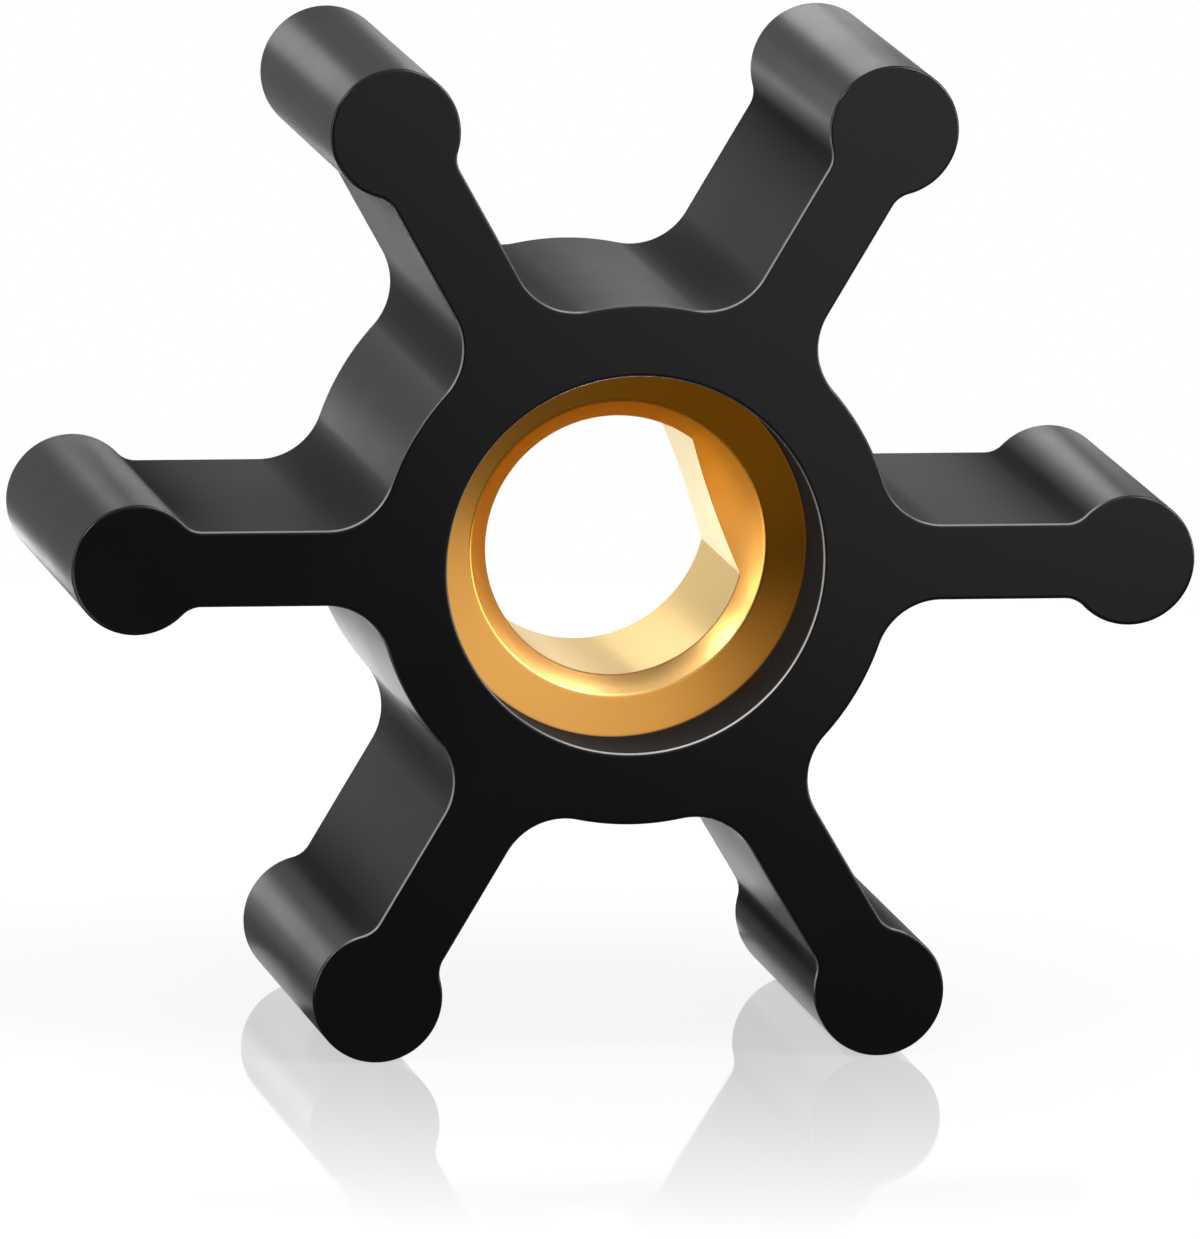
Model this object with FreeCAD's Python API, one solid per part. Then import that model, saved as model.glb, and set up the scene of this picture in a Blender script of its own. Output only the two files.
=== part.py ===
"""Flexible rubber pump impeller with a brass drive insert, in millimetres.

Two separate pieces: a moulded rubber body, which is one piece with its six
bulb-tipped blades, and a turned brass insert bonded into its hub, with a bore
for a shaft that has one flat.

Frame: the bore runs along Y and the front face looks towards -Y. Z is up and
the origin is on the bore's axis, half-way between the two end faces. Two of
the blades lie along X, so the part stands on its two lowest blade tips.
"""

import FreeCAD
import Part
import math
import os

from FreeCAD import Vector

# Rubber body: the star of blades
blade_count = 6
body_width = 16.0
tip_diameter = 43.3
hub_diameter = 20.0
blade_thickness = 2.9
bulb_diameter = 5.0
root_fillet_radius = 2.5
neck_fillet_radius = 1.0
body_edge_break = 0.12

# Rubber body: the round recess at each end of the hub, with the insert at its floor
front_recess_depth = 3.5
back_recess_depth = 3.5
recess_edge_break = 0.12

# Brass insert: the bore and its flat, seen from the front
bore_diameter = 10.0
flat_depth = 0.85
flat_angle = 20.5
front_chamfer = 0.7
back_chamfer = 0.3
front_dish_depth = 0.25

# Brass insert: the outside, which the rubber grips and laps over at each end
insert_wall = 2.75
rubber_lap = 0.5
knurl_count = 24
knurl_depth = 0.4
knurl_half_width = 0.45

# Values worked out from the sizes above
bore_radius = bore_diameter / 2
insert_radius = bore_radius + insert_wall
recess_radius = insert_radius - rubber_lap
front_face_y = -body_width / 2
back_face_y = body_width / 2
insert_front_y = front_face_y + front_recess_depth
insert_back_y = back_face_y - back_recess_depth
flat_distance = bore_radius - flat_depth
tool_overrun = 1.0
tiny = 1e-4


def at_angle(along, across, angle_deg):
    """A point in the plane of the star, from its place along and across a blade."""
    angle = math.radians(angle_deg)
    x = along * math.cos(angle) - across * math.sin(angle)
    z = along * math.sin(angle) + across * math.cos(angle)
    return Vector(x, 0, z)


def arc(start, middle, end):
    return Part.Arc(start, middle, end).toShape()


def line(start, end):
    return Part.LineSegment(start, end).toShape()


def midpoint_of_arc(centre, radius, toward):
    """The point of a circle that lies in the direction of another point."""
    direction = (toward - centre).normalize()
    return centre + direction * radius


def blade_edges(angle):
    """One blade's outline: root fillet, side, neck fillet, bulb and back again."""
    half_thickness = blade_thickness / 2
    hub_radius = hub_diameter / 2
    bulb_radius = bulb_diameter / 2
    bulb_centre_distance = tip_diameter / 2 - bulb_radius

    root_across = half_thickness + root_fillet_radius
    root_along = math.sqrt((hub_radius + root_fillet_radius) ** 2 - root_across ** 2)
    neck_across = half_thickness + neck_fillet_radius
    neck_reach = math.sqrt((bulb_radius + neck_fillet_radius) ** 2 - neck_across ** 2)
    neck_along = bulb_centre_distance - neck_reach
    bulb_centre = at_angle(bulb_centre_distance, 0, angle)

    def side(sign):
        """The named points on one side of the blade, from the hub outwards."""
        root_centre = at_angle(root_along, sign * root_across, angle)
        neck_centre = at_angle(neck_along, sign * neck_across, angle)
        hub_point = midpoint_of_arc(Vector(0, 0, 0), hub_radius, root_centre)
        shank_start = at_angle(root_along, sign * half_thickness, angle)
        shank_end = at_angle(neck_along, sign * half_thickness, angle)
        bulb_point = midpoint_of_arc(bulb_centre, bulb_radius, neck_centre)
        root_corner = (hub_point + shank_start) * 0.5
        neck_corner = (shank_end + bulb_point) * 0.5
        root_middle = midpoint_of_arc(root_centre, root_fillet_radius, root_corner)
        neck_middle = midpoint_of_arc(neck_centre, neck_fillet_radius, neck_corner)
        return hub_point, root_middle, shank_start, shank_end, neck_middle, bulb_point

    hub_a, root_a, start_a, end_a, neck_a, bulb_a = side(-1)
    hub_b, root_b, start_b, end_b, neck_b, bulb_b = side(1)
    tip = at_angle(tip_diameter / 2, 0, angle)
    edges = [
        arc(hub_a, root_a, start_a),
        line(start_a, end_a),
        arc(end_a, neck_a, bulb_a),
        arc(bulb_a, tip, bulb_b),
        arc(bulb_b, neck_b, end_b),
        line(end_b, start_b),
        arc(start_b, root_b, hub_b),
    ]
    return edges, hub_a, hub_b


def star_outline():
    """The closed outline of the body: blades joined by arcs of the hub's circle."""
    pitch = 360.0 / blade_count
    blades = [blade_edges(i * pitch) for i in range(blade_count)]
    edges = []
    for i, (blade, _, blade_end) in enumerate(blades):
        next_start = blades[(i + 1) % blade_count][1]
        hub_middle = at_angle(hub_diameter / 2, 0, (i + 0.5) * pitch)
        edges += blade
        edges.append(arc(blade_end, hub_middle, next_start))
    return Part.Wire(edges)


def end_edges(shape):
    """The edges of a shape that lie in the plane of either end face."""
    found = []
    for edge in shape.Edges:
        ys = [vertex.Y for vertex in edge.Vertexes]
        for face_y in (front_face_y, back_face_y):
            if all(abs(y - face_y) < tiny for y in ys):
                found.append(edge)
    return found


def is_circle(edge, radius):
    """Whether an edge is the whole circle of one radius, about the bore's axis."""
    whole = abs(edge.Length - 2 * math.pi * radius) < tiny
    return whole and isinstance(edge.Curve, Part.Circle)


def cylinder(radius, start_y, end_y):
    return Part.makeCylinder(radius, end_y - start_y, Vector(0, start_y, 0), Vector(0, 1, 0))


def knurled_envelope():
    """The insert's outside as a solid: a cylinder with straight V grooves along it."""
    pitch = 360.0 / knurl_count
    groove_half_angle = math.degrees(math.asin(knurl_half_width / insert_radius))
    edges = []
    for i in range(knurl_count):
        groove_start = at_angle(insert_radius, 0, i * pitch - groove_half_angle)
        groove_floor = at_angle(insert_radius - knurl_depth, 0, i * pitch)
        groove_end = at_angle(insert_radius, 0, i * pitch + groove_half_angle)
        land_middle = at_angle(insert_radius, 0, (i + 0.5) * pitch)
        next_start = at_angle(insert_radius, 0, (i + 1) * pitch - groove_half_angle)
        edges.append(line(groove_start, groove_floor))
        edges.append(line(groove_floor, groove_end))
        edges.append(arc(groove_end, land_middle, next_start))
    face = Part.Face(Part.Wire(edges))
    face.translate(Vector(0, insert_front_y, 0))
    return face.extrude(Vector(0, insert_back_y - insert_front_y, 0))


def rubber_body():
    """The moulded star, its recesses, and the cavity that the insert fills."""
    face = Part.Face(star_outline())
    face.translate(Vector(0, front_face_y, 0))
    star = face.extrude(Vector(0, body_width, 0))
    star = star.makeChamfer(body_edge_break, end_edges(star))

    hole = cylinder(recess_radius, front_face_y - tool_overrun, back_face_y + tool_overrun)
    body = star.cut(hole)
    mouths = [edge for edge in end_edges(body) if is_circle(edge, recess_radius)]
    body = body.makeChamfer(recess_edge_break, mouths)
    return body.cut(knurled_envelope())


def flat_sided_bore():
    """The tool that leaves the bore: a round bar with one flat."""
    bar = cylinder(bore_radius, insert_front_y - tool_overrun, insert_back_y + tool_overrun)
    length = insert_back_y - insert_front_y + 4 * tool_overrun
    cutter = Part.makeBox(bore_radius, length, 4 * bore_radius)
    cutter.translate(Vector(flat_distance, insert_front_y - 2 * tool_overrun, -2 * bore_radius))
    cutter.rotate(Vector(0, 0, 0), Vector(0, -1, 0), flat_angle)
    return bar.cut(cutter)


def chamfer_cone(mouth_radius, mouth_y, inward):
    """A 45 degree cone from a mouth, deep enough to cut the flat's edge as well."""
    depth = mouth_radius - flat_distance / 2
    start = Vector(0, mouth_y - inward * tool_overrun, 0)
    return Part.makeCone(
        mouth_radius + tool_overrun,
        mouth_radius - depth,
        depth + tool_overrun,
        start,
        Vector(0, inward, 0),
    )


def brass_insert():
    """The turned insert: knurled outside, dished front face, bore and chamfers."""
    mouth_radius = bore_radius + front_chamfer
    blank = knurled_envelope()
    dish_floor_y = insert_front_y + front_dish_depth
    dish = Part.makeCone(
        recess_radius,
        mouth_radius,
        front_dish_depth,
        Vector(0, insert_front_y, 0),
        Vector(0, 1, 0),
    )
    insert = blank.cut(dish)
    insert = insert.cut(flat_sided_bore())
    insert = insert.cut(chamfer_cone(mouth_radius, dish_floor_y, 1))
    insert = insert.cut(chamfer_cone(bore_radius + back_chamfer, insert_back_y, -1))
    return insert


def main():
    os.makedirs("parts", exist_ok=True)
    pieces = {"rubber_body": rubber_body(), "brass_insert": brass_insert()}
    for name, shape in pieces.items():
        solid = shape.Solids[0]
        solid.exportStep("parts/" + name + ".step")
        print(name, "solids", len(shape.Solids), "valid", solid.isValid(), "volume", round(solid.Volume, 2))


main()
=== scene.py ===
"""Looks of a flexible rubber pump impeller with a brass drive insert.

The frame is in metres: the bore runs along Y, the front face looks towards -Y
and +Z is up. Sizes below are in millimetres and go through MM.
"""

import math

import bpy
from mathutils import Matrix, Vector
from mathutils.geometry import tessellate_polygon


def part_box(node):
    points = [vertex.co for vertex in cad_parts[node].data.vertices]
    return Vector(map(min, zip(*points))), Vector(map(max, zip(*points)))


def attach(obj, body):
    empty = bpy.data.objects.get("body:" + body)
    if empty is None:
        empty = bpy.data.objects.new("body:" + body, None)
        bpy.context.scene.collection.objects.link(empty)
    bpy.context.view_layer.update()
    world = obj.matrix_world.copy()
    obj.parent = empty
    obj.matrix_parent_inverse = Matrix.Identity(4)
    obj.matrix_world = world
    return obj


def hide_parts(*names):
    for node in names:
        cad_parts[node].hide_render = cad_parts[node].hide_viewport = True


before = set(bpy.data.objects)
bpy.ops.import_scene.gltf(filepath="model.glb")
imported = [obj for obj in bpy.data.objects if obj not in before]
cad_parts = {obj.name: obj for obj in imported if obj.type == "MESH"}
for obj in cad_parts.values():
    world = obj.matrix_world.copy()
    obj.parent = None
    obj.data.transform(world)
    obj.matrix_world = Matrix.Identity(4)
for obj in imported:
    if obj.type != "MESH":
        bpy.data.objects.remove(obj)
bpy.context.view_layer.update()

MM = 0.001
WHITE = (1, 1, 1, 1)

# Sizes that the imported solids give
body_low, body_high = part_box("rubber_body")
insert_low, insert_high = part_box("brass_insert")
FRONT_Y = body_low.y
BACK_Y = body_high.y
TIP_RADIUS = body_high.x
FLOOR_Z = body_low.z
INSERT_FRONT_Y = insert_low.y
INSERT_BACK_Y = insert_high.y

# Rubber star, with a narrow strip on each side of its rounded edges that keeps them crisp
BLADE_COUNT = 6
BLADE_PITCH = 2 * math.pi / BLADE_COUNT
HUB_RADIUS = 10.0 * MM
BLADE_HALF_THICKNESS = 1.45 * MM
BULB_RADIUS = 2.5 * MM
ROOT_FILLET = 2.5 * MM
NECK_FILLET = 1.0 * MM
EDGE_ROUND = 0.11 * MM
EDGE_STRIP = 0.05 * MM
BULB_DISTANCE = TIP_RADIUS - BULB_RADIUS

# One lower blade leans to the right as it carries the part: how far its bulb is moved, and
# the power by which the lean grows from the hub to there
LEANING_BLADE = 5
LEAN = 0.25 * MM
LEAN_CURVE = 1.5

# Brass insert
BORE_RADIUS = 5.0 * MM
FLAT_DEPTH = 0.85 * MM
FLAT_ANGLE = math.radians(20.5)
FRONT_CHAMFER = 0.7 * MM
BACK_CHAMFER = 0.3 * MM
FRONT_DISH = 0.25 * MM
INSERT_WALL = 2.75 * MM
RUBBER_LAP = 0.5 * MM
INSERT_RADIUS = BORE_RADIUS + INSERT_WALL
RECESS_RADIUS = INSERT_RADIUS - RUBBER_LAP
MOUTH_RADIUS = BORE_RADIUS + FRONT_CHAMFER
FLAT_DISTANCE = BORE_RADIUS - FLAT_DEPTH

# The knurl on the insert's outside
KNURL_COUNT = 24
KNURL_DEPTH = 0.4 * MM
KNURL_HALF_WIDTH = 0.45 * MM
KNURL_PITCH = 2 * math.pi / KNURL_COUNT
GROOVE_HALF_ANGLE = math.asin(KNURL_HALF_WIDTH / INSERT_RADIUS)

# The insert's broken edges, and how far each passes inside its corner as a share of the break
BREAK = 0.05 * MM
CORNER_SHARE = 0.12
MOUTH_SHARE = 0.2

# How far the lead-in swells, as a share of its width
LEAD_IN_SWELL = 0.01

# How finely the round forms are cut
ARC_STEP = math.radians(1.5)
SHANK_STEPS = 12
EDGE_STEPS = 4
LEAD_IN_STEPS = 6
RING_STEPS = 360
ANGLE_DIGITS = 9
CORNER_CLEARANCE = math.radians(0.4)
SAME_PLACE = 1e-9

# Edges that turn more sharply than this, in degrees, aren't shaded smooth
RUBBER_CREASE = 35
BRASS_CREASE = 24

# How dull the rubber is, from 0 on the rubbed end faces and edges to 1 in the hollows, and
# the share of it that is taken off where a wall faces straight down
FACE_DULL = 0.0
TIP_DULL = 0.18
HUB_DULL = 0.28
SHANK_DULL = 0.47
ROOT_DULL = 0.75
NECK_DULL = 1.0
NECK_SIDE_DULL = 0.85
RECESS_DULL = 1.0
UNDERSIDE_POLISH = 1.0

# How steeply that rises towards the neck, along the shank and along the bulb
SHANK_STEEPNESS = 4
BULB_STEEPNESS = 13

# The painted highlight along the edges, a lighter colour for the light that the rounding catches:
# how strong it is on the blades, the way it faces where it shows best, its least strength elsewhere,
# and where it lies as shares of the edge's depth
BLADE_PAINTED_HIGHLIGHT = 0.52
LINE_FACING = (-0.707, 0.707)
LINE_LEAST = 0.15
LINE_START = 0.2
LINE_END = 0.9


def mesh_object(name, vertices, faces, material, crease):
    """A new mesh object in the scene, smooth except at edges that turn sharply."""
    mesh = bpy.data.meshes.new(name)
    mesh.from_pydata(vertices, [], faces)
    mesh.validate()
    mesh.update()
    piece = bpy.data.objects.new(name, mesh)
    bpy.context.scene.collection.objects.link(piece)
    mesh.materials.append(material)
    mesh.polygons.foreach_set("use_smooth", [True] * len(mesh.polygons))
    mesh.set_sharp_from_angle(angle=math.radians(crease))
    return piece


def store(piece, name, values):
    """Keeps one value for each point of a mesh, for its material to read."""
    piece.data.attributes.new(name, "FLOAT", "POINT").data.foreach_set("value", values)


def loop_faces(first, second, count):
    """Quads between two loops of the same length, given by the index of their first point."""
    faces = []
    for i in range(count):
        j = (i + 1) % count
        faces.append((first + i, first + j, second + j, second + i))
    return faces


def arc_points(centre, radius, start, end):
    """Points of an arc in the star's plane, from one angle to another, both ends in."""
    steps = max(2, math.ceil(abs(end - start) / ARC_STEP))
    points = []
    for i in range(steps + 1):
        angle = start + (end - start) * i / steps
        points.append((centre[0] + radius * math.cos(angle), centre[1] + radius * math.sin(angle)))
    return points


def blade_half():
    """Centres and angles of the arcs on one side of a blade that lies along X."""
    root_across = BLADE_HALF_THICKNESS + ROOT_FILLET
    root_along = math.sqrt((HUB_RADIUS + ROOT_FILLET) ** 2 - root_across ** 2)
    neck_across = BLADE_HALF_THICKNESS + NECK_FILLET
    neck_along = BULB_DISTANCE - math.sqrt((BULB_RADIUS + NECK_FILLET) ** 2 - neck_across ** 2)
    hub_angle = math.atan2(root_across, root_along)
    bulb_angle = math.atan2(neck_across, neck_along - BULB_DISTANCE)
    return (root_along, root_across), (neck_along, neck_across), hub_angle, bulb_angle


def hollow(first, middle, last, along):
    """How dull a fillet is: from one end's value through the middle's to the other end's."""
    ends = first + (last - first) * along
    return ends + (middle - ends) * (1 - (2 * along - 1) ** 2)


def root_dullness(along):
    return hollow(HUB_DULL, ROOT_DULL, SHANK_DULL, along)


def shank_dullness(along):
    return SHANK_DULL + (NECK_SIDE_DULL - SHANK_DULL) * along ** SHANK_STEEPNESS


def neck_dullness(along):
    return hollow(NECK_SIDE_DULL, NECK_DULL, NECK_SIDE_DULL, along)


def bulb_dullness(along):
    return TIP_DULL + (NECK_SIDE_DULL - TIP_DULL) * (1 - along) ** BULB_STEEPNESS


def blade_side(inset):
    """One side of a blade that lies along X, from hub to tip, with how dull its wall is."""
    root, neck, hub_angle, bulb_angle = blade_half()
    down = -math.pi / 2
    across = BLADE_HALF_THICKNESS - inset
    length = neck[0] - root[0]
    root_arc = arc_points(root, ROOT_FILLET + inset, hub_angle - math.pi, down)
    shank = [(root[0] + length * i / SHANK_STEPS, across) for i in range(SHANK_STEPS + 1)]
    neck_arc = arc_points(neck, NECK_FILLET + inset, down, bulb_angle - math.pi)
    bulb_arc = arc_points((BULB_DISTANCE, 0.0), BULB_RADIUS - inset, bulb_angle, 0.0)
    stretches = (
        (root_arc, root_dullness),
        (shank, shank_dullness),
        (neck_arc, neck_dullness),
        (bulb_arc, bulb_dullness),
    )
    side = []
    for points, dullness in stretches:
        for i, point in enumerate(points):
            if not side or math.dist(point, side[-1][0]) > SAME_PLACE:
                side.append((point, dullness(i / (len(points) - 1))))
    return side


def lean_at(along, lean):
    """How far a blade leans aside at a distance from the axis, given its bulb's lean."""
    reach = (along - HUB_RADIUS) / (BULB_DISTANCE - HUB_RADIUS)
    return lean * min(1.0, max(0.0, reach)) ** LEAN_CURVE


def star_outline(inset):
    """The star's outline moved inwards by inset, anticlockwise, and how dull its wall is."""
    hub_angle = blade_half()[2]
    side = blade_side(inset)
    blade = [((x, -z), dull) for (x, z), dull in side]
    blade += side[-2::-1]
    hub = arc_points((0.0, 0.0), HUB_RADIUS - inset, hub_angle, BLADE_PITCH - hub_angle)
    blade += [(point, HUB_DULL) for point in hub[1:-1]]
    points = []
    for i in range(BLADE_COUNT):
        c, s = math.cos(i * BLADE_PITCH), math.sin(i * BLADE_PITCH)
        lean = LEAN if i == LEANING_BLADE else 0.0
        points += [(x * c - z * s + lean_at(x, lean), x * s + z * c) for (x, z), _ in blade]
    return points, [dull for _, dull in blade] * BLADE_COUNT


def outward_normals(points):
    """The direction that the star's wall faces at each point of its outline."""
    normals = []
    for i in range(len(points)):
        after = points[(i + 1) % len(points)]
        before = points[i - 1]
        run = math.dist(after, before)
        normals.append(((after[1] - before[1]) / run, (before[0] - after[0]) / run))
    return normals


def painted_highlight_facing(normal):
    """How strong the painted highlight along an edge is, by where the edge faces: strongest towards
    the upper left, as if lit from there.
    """
    return max(LINE_LEAST, normal[0] * LINE_FACING[0] + normal[1] * LINE_FACING[1])


def blade_painted_highlight(dullness, normal):
    """The painted highlight along the star's outline, which fades out round the glossy bulbs."""
    share = min(1.0, (dullness - TIP_DULL) / (SHANK_DULL - TIP_DULL))
    return BLADE_PAINTED_HIGHLIGHT * share * painted_highlight_facing(normal)


def is_on_wall(y):
    return FRONT_Y + EDGE_ROUND < y < BACK_Y - EDGE_ROUND


def is_on_edge(y):
    depth = min(y - FRONT_Y, BACK_Y - y)
    return LINE_START * EDGE_ROUND < depth < LINE_END * EDGE_ROUND


def edge_places():
    """The rounded edges at the front and at the back, as pairs of inset and y."""
    turns = [math.pi / 2 * i / EDGE_STEPS for i in range(EDGE_STEPS + 1)]
    curve = [(EDGE_ROUND * (1 - math.sin(t)), EDGE_ROUND * (1 - math.cos(t))) for t in turns]
    edge = [(EDGE_ROUND + EDGE_STRIP, 0.0), *curve, (0.0, EDGE_ROUND + EDGE_STRIP)]
    front = [(inset, FRONT_Y + depth) for inset, depth in edge]
    back = [(inset, BACK_Y - depth) for inset, depth in reversed(edge)]
    return front, back


def ring_angles():
    """Angles round the bore: even steps, with the corners of the flat and of the knurl added."""
    angles = {round(2 * math.pi * i / RING_STEPS, ANGLE_DIGITS) for i in range(RING_STEPS)}
    flat_half = math.acos(FLAT_DISTANCE / BORE_RADIUS)
    corners = [FLAT_ANGLE - flat_half, FLAT_ANGLE + flat_half]
    for i in range(KNURL_COUNT):
        groove = i * KNURL_PITCH
        corners += [groove - GROOVE_HALF_ANGLE, groove, groove + GROOVE_HALF_ANGLE]
    for corner in corners:
        corner = round(corner % (2 * math.pi), ANGLE_DIGITS)
        near = {a for a in angles if abs(a - corner) < CORNER_CLEARANCE}
        angles = (angles - near) | {corner}
    return sorted(angles)


def round_at(radius):
    """A circle, as a function that gives the radius at an angle."""
    return lambda angle: radius


def envelope_radius(angle):
    """The insert's outside at an angle: a circle with straight V grooves along it."""
    offset = abs((angle + KNURL_PITCH / 2) % KNURL_PITCH - KNURL_PITCH / 2)
    return INSERT_RADIUS - KNURL_DEPTH * max(0.0, 1 - offset / GROOVE_HALF_ANGLE)


def bore_wall_radius(angle):
    """The bore's wall at an angle: its circle, or the flat where that is nearer."""
    turn = math.cos(angle - FLAT_ANGLE)
    if turn > FLAT_DISTANCE / BORE_RADIUS:
        return FLAT_DISTANCE / turn
    return BORE_RADIUS


def outer_skin(rings):
    """Points of the star's wall, ring by ring, with their dullness and their painted edge highlight.
    """
    vertices = []
    dull = []
    line = []
    for inset, y in rings:
        outline, wall_dull = star_outline(inset)
        vertices += [(x, y, z) for x, z in outline]
        for dullness, normal in zip(wall_dull, outward_normals(outline)):
            polish = 1 - UNDERSIDE_POLISH * max(0.0, -normal[1])
            dull.append(dullness * polish if is_on_wall(y) else FACE_DULL)
            line.append(blade_painted_highlight(dullness, normal) if is_on_edge(y) else 0.0)
    return vertices, dull, line


def inner_skin(rings, angles):
    """Points of the recesses and of the insert's cavity, with the same two values."""
    vertices = []
    dull = []
    line = []
    for radius_at, y in rings:
        for a in angles:
            radius = radius_at(a)
            vertices.append((radius * math.cos(a), y, radius * math.sin(a)))
            dull.append(RECESS_DULL if is_on_wall(y) else FACE_DULL)
            # The recess mouth's rounded edge gets the same painted highlight
            line.append(painted_highlight_facing((-math.cos(a), -math.sin(a))) if is_on_edge(y) else 0.0)
    return vertices, dull, line


def end_face(vertices, outline, mouth, flip):
    """Triangles over one end face, from the star's outline to the recess mouth, both as indices."""
    index = [*outline, *mouth]
    loops = [[Vector((vertices[i][0], vertices[i][2], 0)) for i in loop] for loop in (outline, mouth)]
    faces = []
    for a, b, c in tessellate_polygon(loops):
        pa, pb, pc = vertices[index[a]], vertices[index[b]], vertices[index[c]]
        turn = (pb[0] - pa[0]) * (pc[2] - pa[2]) - (pb[2] - pa[2]) * (pc[0] - pa[0])
        if (turn > 0) == flip:
            b, c = c, b
        faces.append((index[a], index[b], index[c]))
    return faces


def rubber_body(material):
    """The moulded star as one closed skin, with its recesses and the insert's cavity."""
    front_edge, back_edge = edge_places()
    outer_rings = front_edge + back_edge
    inner_rings = [(round_at(RECESS_RADIUS + inset), y) for inset, y in front_edge]
    inner_rings.append((round_at(RECESS_RADIUS), INSERT_FRONT_Y))
    inner_rings.append((envelope_radius, INSERT_FRONT_Y))
    inner_rings.append((envelope_radius, INSERT_BACK_Y))
    inner_rings.append((round_at(RECESS_RADIUS), INSERT_BACK_Y))
    inner_rings += [(round_at(RECESS_RADIUS + inset), y) for inset, y in back_edge]

    angles = ring_angles()
    outer, outer_dull, outer_painted_highlight = outer_skin(outer_rings)
    inner, inner_dull, inner_painted_highlight = inner_skin(inner_rings, angles)
    vertices = outer + inner
    outer_count = len(outer) // len(outer_rings)
    inner_count = len(angles)
    outer_starts = range(0, len(outer), outer_count)
    inner_starts = range(len(outer), len(vertices), inner_count)

    faces = []
    for first, second in zip(outer_starts, outer_starts[1:]):
        faces += loop_faces(first, second, outer_count)
    for first, second in zip(inner_starts, inner_starts[1:]):
        faces += [tuple(reversed(face)) for face in loop_faces(first, second, inner_count)]
    for end, flip in ((0, False), (-1, True)):
        outline = range(outer_starts[end], outer_starts[end] + outer_count)
        mouth = range(inner_starts[end], inner_starts[end] + inner_count)
        faces += end_face(vertices, outline, mouth, flip)

    piece = mesh_object("impeller_rubber", vertices, faces, material, RUBBER_CREASE)
    store(piece, "dull", outer_dull + inner_dull)
    # A lighter colour painted along the edges as a highlight
    store(piece, "line", outer_painted_highlight + inner_painted_highlight)
    return piece


def lead_in(wall, start_y, diagonal):
    """The lead-in's section between its two broken edges, which swells a little."""
    start = MOUTH_RADIUS - 2 * diagonal
    reach = MOUTH_RADIUS - wall - 4 * diagonal
    section = []
    for i in range(LEAD_IN_STEPS + 1):
        along = i / LEAD_IN_STEPS
        swell = LEAD_IN_SWELL * reach * 4 * along * (1 - along)
        y = start_y + 2 * diagonal + along * reach - swell
        section.append((start - along * reach - swell, y))
    return section


def insert_profile(angle):
    """The insert's section at one angle, from its front outer corner round to its back one."""
    wall = bore_wall_radius(angle)
    outside = envelope_radius(angle)
    dish_y = INSERT_FRONT_Y + FRONT_DISH
    front_wall_y = dish_y + MOUTH_RADIUS - wall
    back_mouth = BORE_RADIUS + BACK_CHAMFER
    back_wall_y = INSERT_BACK_Y - (back_mouth - wall)
    slope = FRONT_DISH / (RECESS_RADIUS - MOUTH_RADIUS)
    diagonal = BREAK * math.sqrt(0.5)
    strip = 2 * BREAK
    return [
        (outside, INSERT_FRONT_Y),
        (RECESS_RADIUS + strip, INSERT_FRONT_Y),
        (RECESS_RADIUS, INSERT_FRONT_Y),
        (RECESS_RADIUS - strip, INSERT_FRONT_Y + slope * strip),
        (MOUTH_RADIUS + strip, dish_y - slope * strip),
        (MOUTH_RADIUS + BREAK, dish_y - slope * BREAK),
        (MOUTH_RADIUS + MOUTH_SHARE * BREAK, dish_y + CORNER_SHARE * BREAK),
        (MOUTH_RADIUS - diagonal, dish_y + diagonal),
        *lead_in(wall, dish_y, diagonal),
        (wall + diagonal, front_wall_y - diagonal),
        (wall + CORNER_SHARE * BREAK, front_wall_y + CORNER_SHARE * BREAK),
        (wall, front_wall_y + BREAK),
        (wall, front_wall_y + strip),
        (wall, back_wall_y - strip),
        (wall, back_wall_y - BREAK),
        (wall + CORNER_SHARE * BREAK, back_wall_y - CORNER_SHARE * BREAK),
        (wall + diagonal, back_wall_y + diagonal),
        (back_mouth, INSERT_BACK_Y),
        (RECESS_RADIUS, INSERT_BACK_Y),
        (outside, INSERT_BACK_Y),
    ]


# How pale the brass is painted, from 0 where it is deepest in colour to 1 on the flat in its bore:
# deep is painted shade and pale is painted reflection, palest on the flat as a painted highlight.
# The faced ring and the lead-in are deepest at one angle, their painted shaded side, and palest
# across from there
RING_DEEP_ANGLE = math.radians(50)
LEAD_IN_DEEP_ANGLE = math.radians(100)
RING_PALENESS = 0.25
LEAD_IN_LEAST_PALENESS = 0.02
LEAD_IN_PALENESS = 0.5
BORE_PALENESS = 0.7
FLAT_PALENESS = 1.0

# How coarse it is, from 0 to 1
RING_COARSENESS = 0.0
LEAD_IN_COARSENESS = 1.0
BORE_COARSENESS = 0.4


def away_from(deep_angle, angle):
    """From 0 where the brass is painted deepest, in shade, to 1 across from there, where it is
    painted pale as if lit.
    """
    return 0.5 - 0.5 * math.cos(angle - deep_angle)


def painted_shade_and_finish_at(place, angle):
    """How pale the brass is painted at a place, as painted shade and reflection, and how coarse it
    is: ring or back, lead-in, flat or bore.
    """
    radius, y = place
    margin = 0.5 * BREAK
    outside_bore = radius > bore_wall_radius(angle) + margin
    is_back = outside_bore and y > 0
    if radius > MOUTH_RADIUS + margin or is_back:
        return RING_PALENESS * away_from(RING_DEEP_ANGLE, angle), RING_COARSENESS
    if outside_bore:
        share = away_from(LEAD_IN_DEEP_ANGLE, angle) ** 2
        return LEAD_IN_LEAST_PALENESS + LEAD_IN_PALENESS * share, LEAD_IN_COARSENESS
    if bore_wall_radius(angle) < BORE_RADIUS:
        return FLAT_PALENESS, BORE_COARSENESS
    return BORE_PALENESS, BORE_COARSENESS


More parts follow.
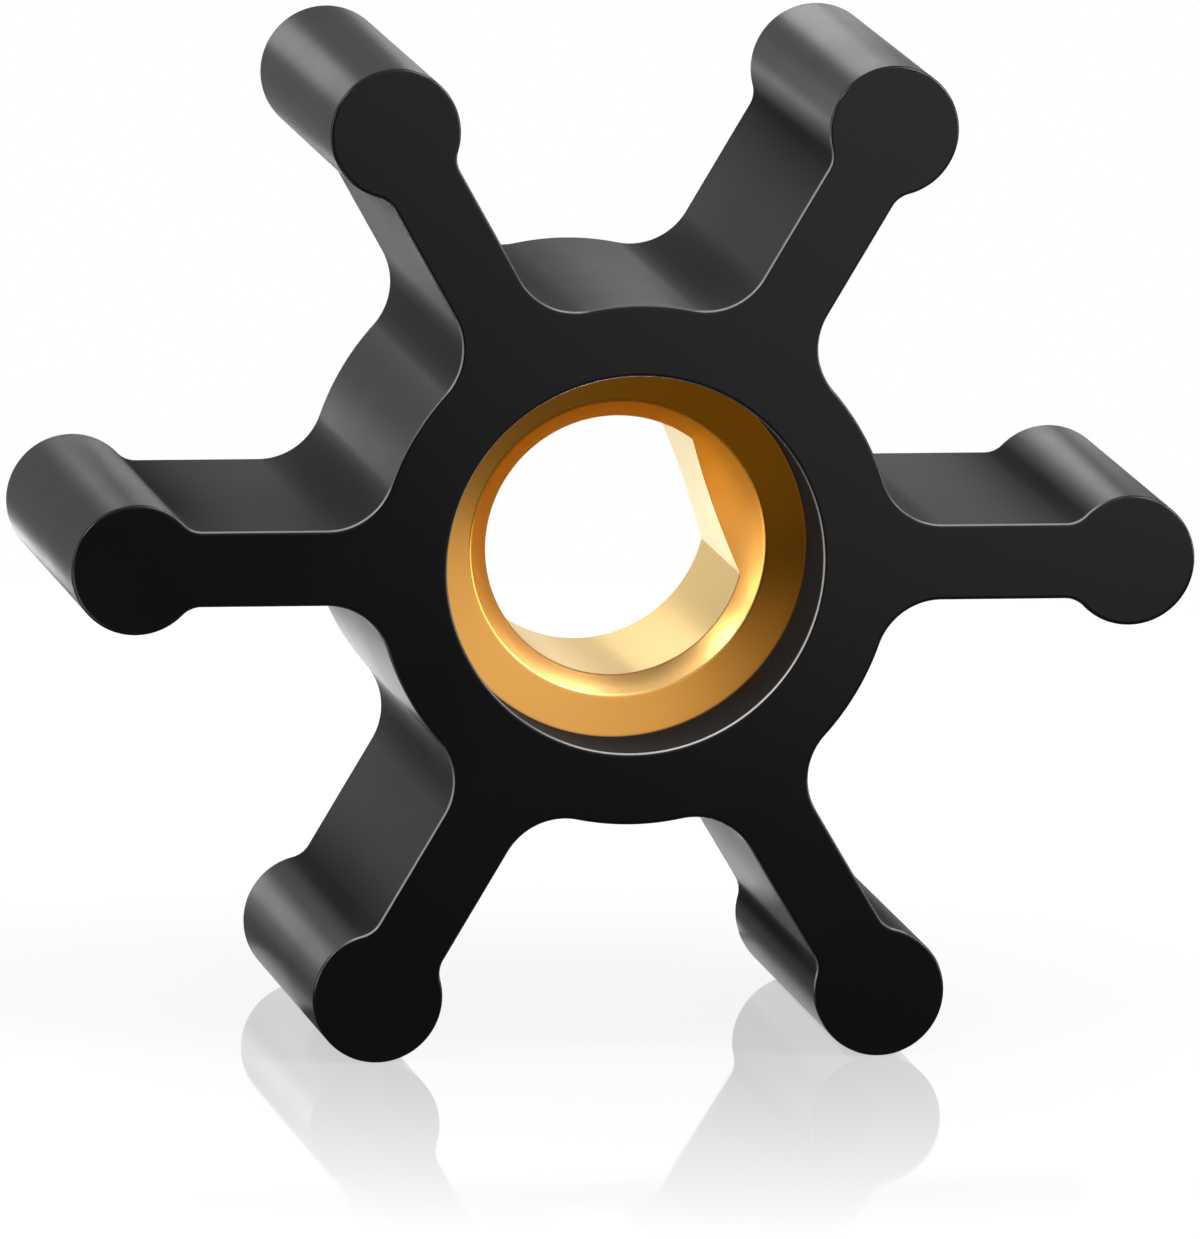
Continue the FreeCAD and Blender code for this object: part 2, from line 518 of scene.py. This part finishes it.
def brass_insert(material):
    """The turned insert as one closed skin: its section carried round the bore's axis."""
    angles = ring_angles()
    sections = [insert_profile(a) for a in angles]
    count = len(angles)
    levels = len(sections[0])
    vertices = []
    painted_shade_and_finish = []
    faces = []
    for level in range(levels):
        for a, section in zip(angles, sections):
            radius, y = section[level]
            vertices.append((radius * math.cos(a), y, radius * math.sin(a)))
            painted_shade_and_finish.append(painted_shade_and_finish_at(section[level], a))
        following = (level + 1) % levels
        faces += loop_faces(following * count, level * count, count)
    piece = mesh_object("impeller_insert", vertices, faces, material, BRASS_CREASE)
    # The brass's painted shade and reflection, kept as how pale it is at each point
    store(piece, "light", [pale for pale, _ in painted_shade_and_finish])
    store(piece, "coarse", [coarse for _, coarse in painted_shade_and_finish])
    return piece


def new_material(name):
    material = bpy.data.materials.new(name)
    material.use_nodes = True
    tree = material.node_tree
    return material, tree, tree.nodes["Principled BSDF"]


def feed(tree, entry, value):
    """Sets an input to a number, or links another node's output to it."""
    if isinstance(value, float):
        entry.default_value = value
    else:
        tree.links.new(value, entry)


# Each function from here to colour_ramp makes one node and returns its output, or all outputs
def stored_value(tree, name):
    """A value that was stored at the points of the mesh."""
    node = tree.nodes.new("ShaderNodeAttribute")
    node.attribute_name = name
    return node.outputs["Fac"]


def separate(tree, vector):
    node = tree.nodes.new("ShaderNodeSeparateXYZ")
    tree.links.new(vector, node.inputs["Vector"])
    return node.outputs


def noise(tree, place, scale, detail):
    """A cloudy pattern over the surface."""
    node = tree.nodes.new("ShaderNodeTexNoise")
    node.inputs["Scale"].default_value = scale
    node.inputs["Detail"].default_value = detail
    tree.links.new(place, node.inputs["Vector"])
    return node.outputs["Fac"]


def line_noise(tree, place, scale, detail):
    """An uneven pattern along a single number."""
    node = tree.nodes.new("ShaderNodeTexNoise")
    node.noise_dimensions = "1D"
    node.inputs["Scale"].default_value = scale
    node.inputs["Detail"].default_value = detail
    tree.links.new(place, node.inputs["W"])
    return node.outputs["Fac"]


def map_range(tree, value, span, levels):
    """A level that goes with a value, from one end of a span to the other."""
    node = tree.nodes.new("ShaderNodeMapRange")
    node.inputs["From Min"].default_value = span[0]
    node.inputs["From Max"].default_value = span[1]
    node.inputs["To Min"].default_value = levels[0]
    node.inputs["To Max"].default_value = levels[1]
    tree.links.new(value, node.inputs["Value"])
    return node.outputs["Result"]


def maths(tree, operation, first, second):
    """One step of arithmetic on two numbers."""
    node = tree.nodes.new("ShaderNodeMath")
    node.operation = operation
    feed(tree, node.inputs[0], first)
    feed(tree, node.inputs[1], second)
    return node.outputs[0]


def vector_maths(tree, operation, vector, second=(0, 0, 0)):
    """One step of arithmetic on a vector, with a fixed second one."""
    node = tree.nodes.new("ShaderNodeVectorMath")
    node.operation = operation
    node.inputs[1].default_value = second
    tree.links.new(vector, node.inputs[0])
    return node.outputs


def float_mix(tree, factor, first, second):
    """A mix of two numbers."""
    node = tree.nodes.new("ShaderNodeMix")
    node.data_type = "FLOAT"
    tree.links.new(factor, node.inputs[0])
    feed(tree, node.inputs[2], first)
    feed(tree, node.inputs[3], second)
    return node.outputs[0]


def colour_mix(tree, factor, first, second):
    """A mix of two fixed colours."""
    node = tree.nodes.new("ShaderNodeMix")
    node.data_type = "RGBA"
    tree.links.new(factor, node.inputs[0])
    node.inputs[6].default_value = first
    node.inputs[7].default_value = second
    return node.outputs[2]


def colour_ramp(tree, factor, first, last, between=()):
    """Colours from 0 to 1, with any others between as pairs of place and colour."""
    node = tree.nodes.new("ShaderNodeValToRGB")
    node.color_ramp.elements[0].color = first
    node.color_ramp.elements[1].color = last
    for place, colour in between:
        node.color_ramp.elements.new(place).color = colour
    tree.links.new(factor, node.inputs["Fac"])
    return node.outputs["Color"]


def stepped(tree, place, steps):
    """A level that runs evenly from each place to the next, given in millimetres."""
    level = steps[0][1]
    for (start, low), (end, high) in zip(steps, steps[1:]):
        rise = map_range(tree, place, (start * MM, end * MM), (0.0, high - low))
        level = maths(tree, "ADD", rise, level)
    return level


def add_bump(tree, shader, height, strength, depth):
    """Gives a shader a fine relief."""
    node = tree.nodes.new("ShaderNodeBump")
    node.inputs["Strength"].default_value = strength
    node.inputs["Distance"].default_value = depth
    tree.links.new(height, node.inputs["Height"])
    tree.links.new(node.outputs["Normal"], shader.inputs["Normal"])


# Both materials vary a little in roughness where their clouds run from light to dark
CLOUD_SPAN = (0.3, 0.7)
CLOUD_DETAIL = 3.0

# The rubber, and the grey painted highlight mixed into its colour along its edges. Its roughness lies
# between two values where it is glossy, and rises to one where it is dull
RUBBER = (0.0008, 0.001, 0.0015, 1)
PAINTED_EDGE_HIGHLIGHT = (0.38, 0.38, 0.39, 1)
RUBBER_IOR = 1.38
RUBBER_ROUGHNESS = (0.22, 0.26)
DULL_ROUGHNESS = 1.0
RUBBER_CLOUD = 220.0

# The rubber's fine grain
GRAIN_SCALE = 6000.0
GRAIN_DETAIL = 2.0
GRAIN_STRENGTH = 0.25
GRAIN_DEPTH = 0.01 * MM


def rubber_material():
    """Black moulded rubber: satin, duller in its hollows, with a fine grain and a painted highlight
    along its edges.
    """
    material, tree, shader = new_material("black_rubber")
    place = tree.nodes.new("ShaderNodeTexCoord").outputs["Object"]
    # Paints the highlight along the edges into the base colour
    colour = colour_mix(tree, stored_value(tree, "line"), RUBBER, PAINTED_EDGE_HIGHLIGHT)
    tree.links.new(colour, shader.inputs["Base Color"])
    shader.inputs["IOR"].default_value = RUBBER_IOR
    cloud = noise(tree, place, RUBBER_CLOUD, CLOUD_DETAIL)
    even = map_range(tree, cloud, CLOUD_SPAN, RUBBER_ROUGHNESS)
    rough = float_mix(tree, stored_value(tree, "dull"), even, DULL_ROUGHNESS)
    tree.links.new(rough, shader.inputs["Roughness"])
    grain = noise(tree, place, GRAIN_SCALE, GRAIN_DETAIL)
    add_bump(tree, shader, grain, GRAIN_STRENGTH, GRAIN_DEPTH)
    return material


# The brass, from its deepest colour, a painted shade, through the bore's to its palest, a painted
# reflection, and seen edge-on
PAINTED_SHADE_BRASS = (0.80, 0.30, 0.01, 1)
BORED_BRASS = (0.93, 0.66, 0.28, 1)
PAINTED_HIGHLIGHT_BRASS = (0.97, 0.86, 0.62, 1)
EDGE_ON_BRASS = (1.0, 0.92, 0.72, 1)

# How rough it is: between two values where it is smooth, and up to one where it is coarse
BRASS_ROUGHNESS = (0.17, 0.20)
COARSE_ROUGHNESS = 0.36
BRASS_CLOUD = 300.0

# The lines that the turning tool leaves round the axis
TURNING_SCALE = 9000.0
TURNING_DETAIL = 1.0
TURNING_STRENGTH = 0.4
TURNING_DEPTH = 0.001 * MM
ACROSS_AXIS = (1, 0, 1)


def brass_material():
    """Turned brass: warm metal with faint rings from the tool, its colour painted deep in shade and
    pale where it reflects light.
    """
    material, tree, shader = new_material("turned_brass")
    place = tree.nodes.new("ShaderNodeTexCoord").outputs["Object"]
    # The colour runs from a painted shade to a painted reflection
    stops = ((BORE_PALENESS, BORED_BRASS),)
    colour = colour_ramp(tree, stored_value(tree, "light"), PAINTED_SHADE_BRASS, PAINTED_HIGHLIGHT_BRASS, stops)
    tree.links.new(colour, shader.inputs["Base Color"])
    shader.inputs["Metallic"].default_value = 1.0
    shader.inputs["Specular Tint"].default_value = EDGE_ON_BRASS
    cloud = noise(tree, place, BRASS_CLOUD, CLOUD_DETAIL)
    even = map_range(tree, cloud, CLOUD_SPAN, BRASS_ROUGHNESS)
    rough = float_mix(tree, stored_value(tree, "coarse"), even, COARSE_ROUGHNESS)
    tree.links.new(rough, shader.inputs["Roughness"])
    flattened = vector_maths(tree, "MULTIPLY", place, ACROSS_AXIS)["Vector"]
    radius = vector_maths(tree, "LENGTH", flattened)["Value"]
    along_section = maths(tree, "SUBTRACT", radius, separate(tree, place)["Y"])
    rings = line_noise(tree, along_section, TURNING_SCALE, TURNING_DETAIL)
    add_bump(tree, shader, rings, TURNING_STRENGTH, TURNING_DEPTH)
    return material


# The floor: how the camera sees it, and its faint mirror by distance from the part's middle
FLOOR_RADIUS = 95.0 * MM
FLOOR_CORNERS = 128
FLOOR_LEVEL = 0.96
FLOOR_GREY = (0.06, 0.06, 0.06, 1)
FLOOR_FADE = (21.0 * MM, 50.0 * MM)
FLOOR_MIRROR = 0.42
FLOOR_ROUGHNESS = 0.04

# How bright reflections see it, by place: from the camera's side to behind the part, and across
FLOOR_STEPS = ((-12.0, 0.01), (34.0, 0.4), (45.0, 3.0), (56.0, 3.0), (65.0, 0.6))
FLOOR_ACROSS = ((-21.0, 0.25), (-11.0, 1.0), (-6.0, 1.0), (0.0, 0.55))


def floor_material():
    """White floor that mirrors the part faintly, less and less away from it."""
    material, tree, _ = new_material("white_floor")
    tree.nodes.clear()
    output = tree.nodes.new("ShaderNodeOutputMaterial")
    place = tree.nodes.new("ShaderNodeNewGeometry").outputs["Position"]
    camera_ray = tree.nodes.new("ShaderNodeLightPath").outputs["Is Camera Ray"]
    split = separate(tree, place)
    deep = stepped(tree, split["Y"], FLOOR_STEPS)
    across = stepped(tree, split["X"], FLOOR_ACROSS)
    mirrored = maths(tree, "MULTIPLY", deep, across)

    glow = tree.nodes.new("ShaderNodeEmission")
    level = float_mix(tree, camera_ray, mirrored, FLOOR_LEVEL)
    tree.links.new(level, glow.inputs["Strength"])
    diffuse = tree.nodes.new("ShaderNodeBsdfDiffuse")
    diffuse.inputs["Color"].default_value = FLOOR_GREY
    white = tree.nodes.new("ShaderNodeAddShader")
    tree.links.new(glow.outputs[0], white.inputs[0])
    tree.links.new(diffuse.outputs[0], white.inputs[1])

    mirror = tree.nodes.new("ShaderNodeBsdfGlossy")
    mirror.inputs["Roughness"].default_value = FLOOR_ROUGHNESS
    distance = vector_maths(tree, "LENGTH", place)["Value"]
    fade = map_range(tree, distance, FLOOR_FADE, (FLOOR_MIRROR, 0.0))
    mix = tree.nodes.new("ShaderNodeMixShader")
    tree.links.new(maths(tree, "MULTIPLY", fade, camera_ray), mix.inputs["Fac"])
    tree.links.new(white.outputs[0], mix.inputs[1])
    tree.links.new(mirror.outputs[0], mix.inputs[2])
    tree.links.new(mix.outputs[0], output.inputs["Surface"])
    return material


def floor():
    """The round floor that the part stands on."""
    bpy.ops.mesh.primitive_circle_add(
        vertices=FLOOR_CORNERS, radius=FLOOR_RADIUS, fill_type="NGON", location=(0, 0, FLOOR_Z)
    )
    disc = bpy.context.object
    disc.name = "floor"
    disc.data.materials.append(floor_material())


# The camera, fitted to the photograph's outline of the part
AZIMUTH = math.radians(10.73)
ELEVATION = math.radians(10.2)
ROLL = math.radians(1.314)
DISTANCE = 818.25 * MM
RIGHT_SHIFT = 1.365 * MM
UP_SHIFT = 2.041 * MM
LENS = 627.83
FAR_CLIP = 10.0


def camera_back():
    """The direction from the part to the camera."""
    level = math.cos(ELEVATION)
    return Vector((-math.sin(AZIMUTH) * level, -math.cos(AZIMUTH) * level, math.sin(ELEVATION)))


def camera():
    """A long lens from the upper left, at the photograph's angle."""
    back = camera_back()
    level_right = Vector((math.cos(AZIMUTH), -math.sin(AZIMUTH), 0))
    level_up = back.cross(level_right)
    right = level_right * math.cos(ROLL) + level_up * math.sin(ROLL)
    up = level_up * math.cos(ROLL) - level_right * math.sin(ROLL)
    data = bpy.data.cameras.new("camera")
    data.lens = LENS
    data.clip_end = FAR_CLIP
    taker = bpy.data.objects.new("camera", data)
    bpy.context.scene.collection.objects.link(taker)
    place = Vector((0, FRONT_Y, 0)) + back * DISTANCE - right * RIGHT_SHIFT - up * UP_SHIFT
    taker.matrix_world = Matrix(
        (
            (right.x, up.x, back.x, place.x),
            (right.y, up.y, back.y, place.y),
            (right.z, up.z, back.z, place.z),
            (0, 0, 0, 1),
        )
    )
    bpy.context.scene.camera = taker


# The studio's brightness, by where a reflected ray goes. 1 is white
FRONT_LEVEL = 0.03
FRONT_COLOUR = (1.0, 0.65, 0.35, 1)
SIDE_LEVEL = 0.65
SURROUND_LEFT = 0.43
SURROUND_RIGHT = 0.33
FILL_LEVEL = 0.6

# The white backdrop, round the direction that the camera looks in
BACKDROP_HALF_ANGLE = math.radians(5.0)
BACKDROP_EDGE = math.radians(3.0)

# Where those levels run into each other, by how far a ray goes along Y or along X
WARM_SPAN = (-0.6, -0.3)
FRONT_SPAN = (-0.6, -0.15)
REAR_SPAN = (0.25, 0.8)
ACROSS_SPAN = (-0.25, 0.25)


def studio_world():
    """White where the camera looks. Around that a plain studio: grey sides, a dark camera end."""
    world = bpy.data.worlds.new("studio")
    bpy.context.scene.world = world
    world.use_nodes = True
    tree = world.node_tree
    background = tree.nodes["Background"]
    direction = tree.nodes.new("ShaderNodeTexCoord").outputs["Generated"]
    ray = tree.nodes.new("ShaderNodeLightPath").outputs
    split = separate(tree, direction)

    toward_side = map_range(tree, split["Y"], WARM_SPAN, (0.0, 1.0))
    plain = float_mix(tree, ray["Is Camera Ray"], toward_side, 1.0)
    colour = colour_ramp(tree, plain, FRONT_COLOUR, WHITE)
    tree.links.new(colour, background.inputs["Color"])

    front = map_range(tree, split["Y"], FRONT_SPAN, (FRONT_LEVEL, SIDE_LEVEL))
    rear = map_range(tree, split["Y"], REAR_SPAN, (0.0, 1.0))
    surround = map_range(tree, split["X"], ACROSS_SPAN, (SURROUND_LEFT, SURROUND_RIGHT))
    around = float_mix(tree, rear, front, surround)
    toward = vector_maths(tree, "DOT_PRODUCT", direction, -camera_back())["Value"]
    near = math.cos(BACKDROP_HALF_ANGLE)
    far = math.cos(BACKDROP_HALF_ANGLE + BACKDROP_EDGE)
    middle = map_range(tree, toward, (far, near), (0.0, 1.0))
    mirrored = float_mix(tree, middle, around, 1.0)
    soft = float_mix(tree, ray["Is Diffuse Ray"], mirrored, FILL_LEVEL)
    seen = float_mix(tree, ray["Is Camera Ray"], soft, 1.0)
    tree.links.new(seen, background.inputs["Strength"])


# How far away the large lights are, and the size of those on the right, in millimetres
KEY_DISTANCE = 500
FAR_DISTANCE = 450
SIDE_BOX = (160, 160)

# Cards in front of the part, each 1 mm beyond the last and with its lower left edge further
# out, so that the end face shades towards its lower left
CARD_FRONT = -78.0
CARD_SIZE = 100.0
CARD_TURN = math.radians(50.0)
CARD_EDGES = (-7.0, -2.0, 2.0, 6.0, 18.0)
CARD_LEVEL = 0.2

# Strips of light behind the part, each drawing a highlight along one blade's tip
STRIP_BEHIND = 45.0
STRIP_WIDTH = 4.5

# Cards on the floor
FLOOR_CARD_Z = FLOOR_Z / MM + 0.2


def softbox(name, centre, target, size, radiance):
    """A rectangular light that reflections see as an even patch and the camera doesn't see."""
    data = bpy.data.lights.new(name, "AREA")
    data.shape = "RECTANGLE"
    data.size = size[0] * MM
    data.size_y = size[1] * MM
    data.energy = math.pi * radiance * data.size * data.size_y
    lamp = bpy.data.objects.new(name, data)
    bpy.context.scene.collection.objects.link(lamp)
    lamp.location = Vector(centre) * MM
    aim = Vector(target) * MM - lamp.location
    lamp.rotation_euler = aim.to_track_quat("-Z", "Y").to_euler()
    lamp.visible_camera = False
    return lamp


def far_light(name, direction, size, radiance, distance=FAR_DISTANCE):
    """A large light that is aimed at the part's middle, from a direction."""
    softbox(name, Vector(direction) * distance, (0, 0, 0), size, radiance)


def upright_card(name, centre, y, size, radiance):
    """A card in front of the part or behind it, facing it, at a place given as x and z."""
    x, z = centre
    return softbox(name, (x, y, z), (x, 0, z), size, radiance)


def card_in_front(index, edge):
    """A square card whose lower left edge lies at a distance from the bore's axis."""
    reach = CARD_SIZE / 2 + edge
    centre = (reach * math.cos(CARD_TURN), reach * math.sin(CARD_TURN))
    name = "front_card_" + str(index)
    lamp = upright_card(name, centre, CARD_FRONT - index, (CARD_SIZE, CARD_SIZE), CARD_LEVEL)
    lamp.rotation_euler.rotate_axis("Z", CARD_TURN)


def strip_behind(name, centre, degrees, length, radiance):
    """A strip behind the part, lying at an angle."""
    lamp = upright_card(name, centre, STRIP_BEHIND, (length, STRIP_WIDTH), radiance)
    lamp.rotation_euler.rotate_axis("Z", -math.radians(degrees))


def floor_card(name, centre, size, radiance):
    """A card lying just above the floor and lighting upwards, at a place given as x and y."""
    x, y = centre
    lamp = softbox(name, (x, y, FLOOR_CARD_Z), (x, y, 0), size, radiance)
    lamp.rotation_euler = (math.pi, 0, 0)


def lights():
    """Every light: large ones far off, cards and strips round the part, and cards on the floor."""
    far_light("key_light", (-0.74, -0.36, 0.57), (110, 110), 24.0, KEY_DISTANCE)
    far_light("left_light", (-0.92, -0.37, -0.10), (160, 260), 2.4)
    far_light("middle_left_light", (-0.92, -0.35, 0.17), (70, 70), 14.0)
    far_light("top_light", (0.10, -0.35, 0.93), (300, 160), 1.8)
    far_light("upper_left_light", (-0.42, -0.33, 0.85), (100, 100), 4.0)
    far_light("right_light", (0.82, -0.33, 0.47), SIDE_BOX, 16.0)
    far_light("far_right_light", (0.92, -0.36, 0.0), SIDE_BOX, 9.0)
    far_light("upper_right_light", (0.50, -0.35, 0.79), SIDE_BOX, 16.0)
    softbox("low_left_card", (-30, -22, -10), (0, -4, 2), (24, 14), 2.5)
    for i, edge in enumerate(CARD_EDGES):
        card_in_front(i, edge)
    strip_behind("upper_right_strip", (10.5, 31), 0, 13, 6.5)
    strip_behind("upper_right_fill", (19.5, 26), -55, 10, 2.2)
    strip_behind("upper_right_edge", (22.5, 17), 90, 8, 0.8)
    strip_behind("upper_middle_fill", (-2.5, 10.5), 0, 16, 1.7)
    strip_behind("upper_left_strip", (-20.5, 25.5), 57, 11, 5.0)
    strip_behind("lower_left_strip", (-22, -10.3), 62, 9, 4.5)
    strip_behind("right_edge", (31.5, 2), 90, 14, 0.6)
    upright_card("right_card", (20, 11.5), 30, (9, 4), 3.0)
    upright_card("hub_left_card", (-17.3, 3.2), 30, (5, 4), 2.6)
    upright_card("bore_card", (1.6, -1.2), 12, (6, 4.8), 0.32)
    upright_card("floor_card", (28, 4), 150, (70, 30), 0.7)
    softbox("bore_right_glow", (1.6, -1.2, -1.6), (0, -1.2, 0), (5.6, 6), 0.16)
    softbox("bore_low_glow", (-1.8, -3.8, -2.3), (-1.3, -3.8, -1.4), (2.4, 3.8), 1.3)
    floor_card("low_rear_card", (10.5, 30), (7, 32), 9.0)
    floor_card("low_middle_card", (12, 12), (7, 4), 8.0)
    floor_card("under_left_card", (-12, 6), (4, 12), 0.65)
    floor_card("under_right_card", (9.5, 2), (8, 20), 0.75)


rubber = rubber_body(rubber_material())
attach(rubber, "root")
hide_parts("rubber_body")

insert = brass_insert(brass_material())
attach(insert, "root")
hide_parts("brass_insert")

floor()
studio_world()
lights()
camera()
bpy.context.scene.view_settings.view_transform = "Standard"
